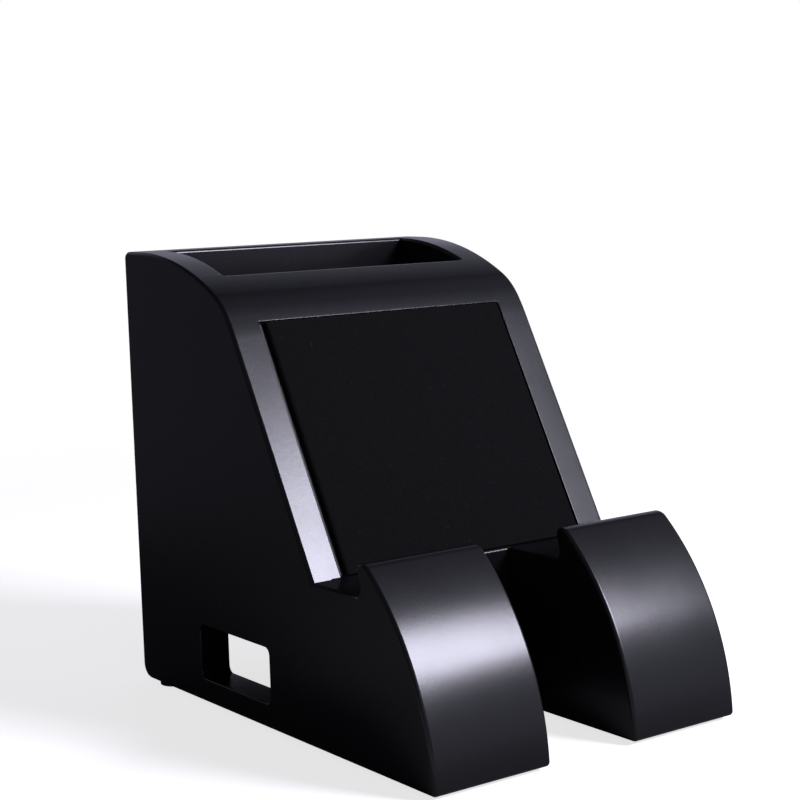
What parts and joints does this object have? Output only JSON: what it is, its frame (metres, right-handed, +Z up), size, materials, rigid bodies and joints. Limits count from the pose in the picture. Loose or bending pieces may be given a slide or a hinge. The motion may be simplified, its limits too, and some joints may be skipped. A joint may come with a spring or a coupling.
{
  "type": "wooden charging station",
  "caption": "Black painted wooden desk stand: a phone leans on its sloping front and stands on lipped feet, with a pencil cup behind and openings for the charging lead.",
  "frame": {"origin": "middle of the stand's footprint, on the desk under its pads", "axes": "+X to the viewer's right across the stand, +Y from the phone side to the back, +Z up"},
  "size_m": [0.098, 0.139, 0.123],
  "materials": {
    "satin_paint": "satin black paint over fibreboard",
    "felt": "matte black felt",
    "rubber": "matte",
    "beech": "bare beech"
  },
  "bodies": {
    "root": {"side_panel_left": "satin_paint", "side_panel_right": "satin_paint", "foot_block_left": "satin_paint", "foot_block_right": "satin_paint", "shoulder_block": "satin_paint", "slope_board": "satin_paint", "riser_board": "satin_paint", "cup_divider": "satin_paint", "cup_floor": "satin_paint", "back_panel": "satin_paint", "slope_felt": "felt", "pad_back_left": "rubber", "pad_back_right": "rubber", "pad_front_left": "rubber", "pad_front_right": "rubber", "dowel_back_lower_left": "beech", "dowel_back_lower_right": "beech", "dowel_back_upper_left": "beech", "dowel_back_upper_right": "beech", "dowel_foot_upper_left": "beech", "dowel_foot_upper_right": "beech", "dowel_foot_lower_left": "beech", "dowel_foot_lower_right": "beech", "dowel_shoulder_left": "beech", "dowel_shoulder_right": "beech"}
  },
  "joints": []
}
